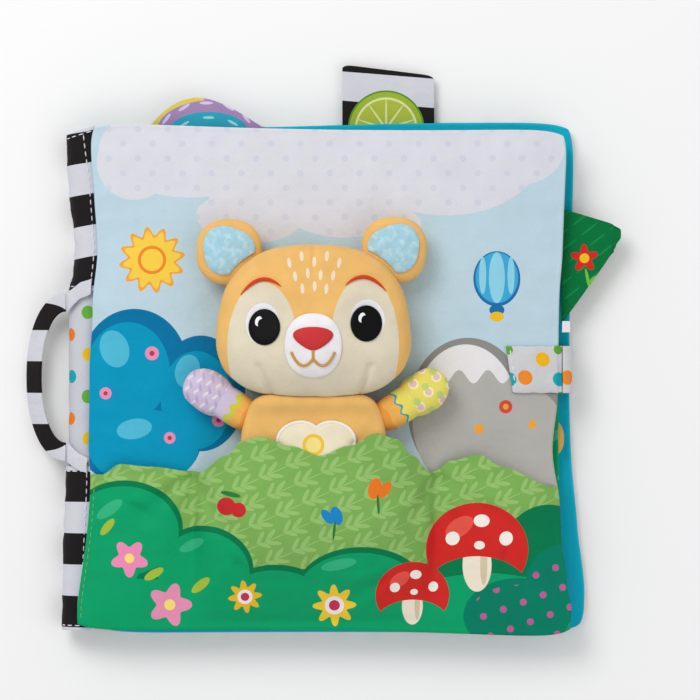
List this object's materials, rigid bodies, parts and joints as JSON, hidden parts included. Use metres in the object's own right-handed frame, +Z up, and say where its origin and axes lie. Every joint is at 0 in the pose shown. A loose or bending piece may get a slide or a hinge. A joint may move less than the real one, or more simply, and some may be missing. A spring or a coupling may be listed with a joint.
{
  "type": "crinkle cloth book",
  "caption": "Soft padded cloth book for a baby, with a plush bear in a front pocket, a striped spine with a carrying loop, a closing strap and sewn edge tabs.",
  "frame": {"origin": "middle of the back cover's flat underside", "axes": "+Z up out of the front cover as the book lies on its back, +X to the reader's right, +Y to the top of the page"},
  "size_m": [0.2688, 0.258, 0.0597],
  "materials": {
    "sky_satin": "printed satin",
    "teal_satin": "satin",
    "dotted_satin": "printed satin",
    "leaf_satin": "printed satin",
    "wadding": "matte",
    "crinkle_film": "thin film",
    "striped_tape": "printed tape",
    "grass_satin": "printed satin",
    "hook_tape": "hook and loop",
    "purple_satin": "printed satin",
    "green_satin": "printed satin",
    "orange_satin": "satin",
    "white_label": "ribbon",
    "peach_plush": "short plush",
    "cream_plush": "short plush",
    "ear_satin": "satin",
    "black_thread": "embroidery",
    "red_thread": "embroidery",
    "tan_thread": "embroidery",
    "lilac_plush": "short plush",
    "yellow_plush": "printed plush",
    "white_plastic": "moulded",
    "green_board": "solder mask",
    "steel": "plated",
    "grey_plastic": "moulded"
  },
  "bodies": {
    "back_cover": {"back_cover_outer": "dotted_satin", "back_cover_wadding": "wadding", "back_cover_crinkle_film": "crinkle_film", "back_cover_lining": "teal_satin", "spine_gusset": "dotted_satin", "spine_stripe_upper": "striped_tape", "spine_stripe_lower": "striped_tape", "handle_end_upper": "striped_tape", "handle_end_lower": "striped_tape", "strap_loop_tape": "hook_tape"},
    "handle": {"handle_loop": "striped_tape"},
    "striped_tab": {"striped_tab": "striped_tape"},
    "inner_leaf": {"inner_leaf_front": "leaf_satin", "inner_leaf_wadding": "wadding", "inner_leaf_crinkle_film": "crinkle_film", "inner_leaf_back": "leaf_satin", "orange_flap": "orange_satin"},
    "arch_tab": {"arch_tab": "purple_satin"},
    "corner_tab": {"corner_tab": "green_satin"},
    "front_cover": {"front_cover_face": "sky_satin", "front_cover_wadding": "wadding", "front_cover_crinkle_film": "crinkle_film", "front_cover_lining": "teal_satin", "grass_pocket": "grass_satin", "strap_sewn_end": "dotted_satin", "side_label": "white_label"},
    "strap": {"strap_free_end": "dotted_satin", "strap_hook_tape": "hook_tape"},
    "bear": {"bear_torso": "peach_plush", "tummy_patch": "cream_plush", "sound_case_front": "white_plastic", "sound_case_back": "white_plastic", "battery_door": "white_plastic", "door_screw": "steel", "speaker": "grey_plastic", "circuit_board": "green_board", "button_cell_1": "steel", "button_cell_2": "steel", "button_cell_3": "steel"},
    "tummy_button": {"tummy_button": "white_plastic"},
    "bear_head": {"bear_head": "peach_plush", "ear_left": "peach_plush", "ear_right": "peach_plush", "ear_lining_left": "ear_satin", "ear_lining_right": "ear_satin", "eye_left": "black_thread", "eye_right": "black_thread", "muzzle_patch": "cream_plush", "nose": "red_thread", "mouth": "tan_thread", "brow_left": "tan_thread", "brow_right": "tan_thread"},
    "arm_left": {"arm_left": "peach_plush", "paw_left": "lilac_plush"},
    "arm_right": {"arm_right": "peach_plush", "paw_right": "yellow_plush"}
  },
  "joints": [
    {"name": "leaf_turn", "type": "hinge", "parent": "back_cover", "child": "inner_leaf", "pos_m": [-0.1093, 0, 0.02085], "axis": [0, 1, 0], "range_deg": [-175, 0]},
    {"name": "cover_open", "type": "hinge", "parent": "inner_leaf", "child": "front_cover", "pos_m": [-0.1093, 0, 0.02085], "axis": [0, -1, 0], "range_deg": [0, 175]},
    {"name": "handle_swing", "type": "hinge", "parent": "back_cover", "child": "handle", "pos_m": [-0.11923, 0, 0.01322], "axis": [0, -1, 0], "range_deg": [-35, 25]},
    {"name": "striped_tab_fold", "type": "hinge", "parent": "back_cover", "child": "striped_tab", "pos_m": [0.0264, 0.11506, 0.0036], "axis": [1, 0, 0], "range_deg": [-50, 60], "stiffness_Nm_per_rad": 0.004},
    {"name": "arch_tab_fold", "type": "hinge", "parent": "inner_leaf", "child": "arch_tab", "pos_m": [-0.056, 0.11305, 0.0112], "axis": [1, 0, 0], "range_deg": [-45, 45], "stiffness_Nm_per_rad": 0.004},
    {"name": "corner_tab_fold", "type": "hinge", "parent": "inner_leaf", "child": "corner_tab", "pos_m": [0.10421, 0.05125, 0.0112], "axis": [0, -1, 0], "range_deg": [-40, 60], "stiffness_Nm_per_rad": 0.004},
    {"name": "strap_release", "type": "hinge", "parent": "front_cover", "child": "strap", "pos_m": [0.10481, 0.0047, 0.0205], "axis": [0, -1, 0], "range_deg": [0, 150]},
    {"name": "bear_slide", "type": "slide", "parent": "front_cover", "child": "bear", "axis": [0, 1, 0], "range_m": [0, 0.09]},
    {"name": "tummy_button_press", "type": "slide", "parent": "bear", "child": "tummy_button", "axis": [0, 0, -1], "range_m": [0, 0.002], "stiffness_N_per_m": 300},
    {"name": "neck_nod", "type": "hinge", "parent": "bear", "child": "bear_head", "pos_m": [-0.0072, -0.0082, 0.04415], "axis": [1, 0, 0], "range_deg": [0, 25]},
    {"name": "arm_left_lift", "type": "hinge", "parent": "bear", "child": "arm_left", "pos_m": [-0.03579, -0.0167, 0.03835], "axis": [0.5299, 0.848, 0], "range_deg": [0, 50]},
    {"name": "arm_right_lift", "type": "hinge", "parent": "bear", "child": "arm_right", "pos_m": [0.02359, -0.0167, 0.03835], "axis": [0.5299, -0.848, 0], "range_deg": [0, 50]}
  ]
}
